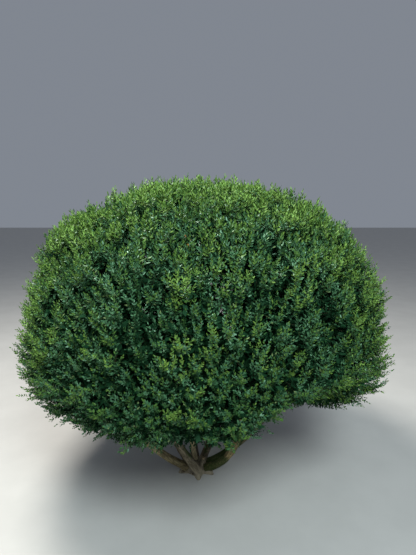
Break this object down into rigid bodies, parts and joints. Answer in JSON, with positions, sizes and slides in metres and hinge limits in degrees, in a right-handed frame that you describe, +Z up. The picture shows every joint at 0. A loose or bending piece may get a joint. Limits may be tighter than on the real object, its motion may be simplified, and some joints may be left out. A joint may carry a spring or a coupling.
{
  "type": "box topiary ball",
  "caption": "Old box bush clipped to a broad, flattened ball: bare leaning stems fan out of one low root crown in the ground and carry a dense crown of small glossy leaves.",
  "frame": {"origin": "on the ground, in the middle of the flat cut under the root crown", "axes": "+Z up; the front of the plant, as it is usually seen, faces -Y and its right-hand side is +X"},
  "size_m": [1.9061, 1.9201, 1.6476],
  "materials": {
    "bark": "matt weathered bark, tan to grey-brown, with green algae and moss in patches",
    "foliage": "small glossy leaves, deep blue-green in the body of the crown and fresh yellow-green on its top and sides"
  },
  "bodies": {
    "root": {"root_crown": "bark", "stem_right": "bark", "stem_back_right": "bark", "stem_back": "bark", "stem_back_left": "bark", "stem_front_left": "bark", "stem_front": "bark", "stem_front_right": "bark", "stem_leader": "bark", "foliage_right": "foliage", "foliage_back_right": "foliage", "foliage_back": "foliage", "foliage_back_left": "foliage", "foliage_front_left": "foliage", "foliage_front": "foliage", "foliage_front_right": "foliage", "foliage_top": "foliage"}
  },
  "joints": []
}
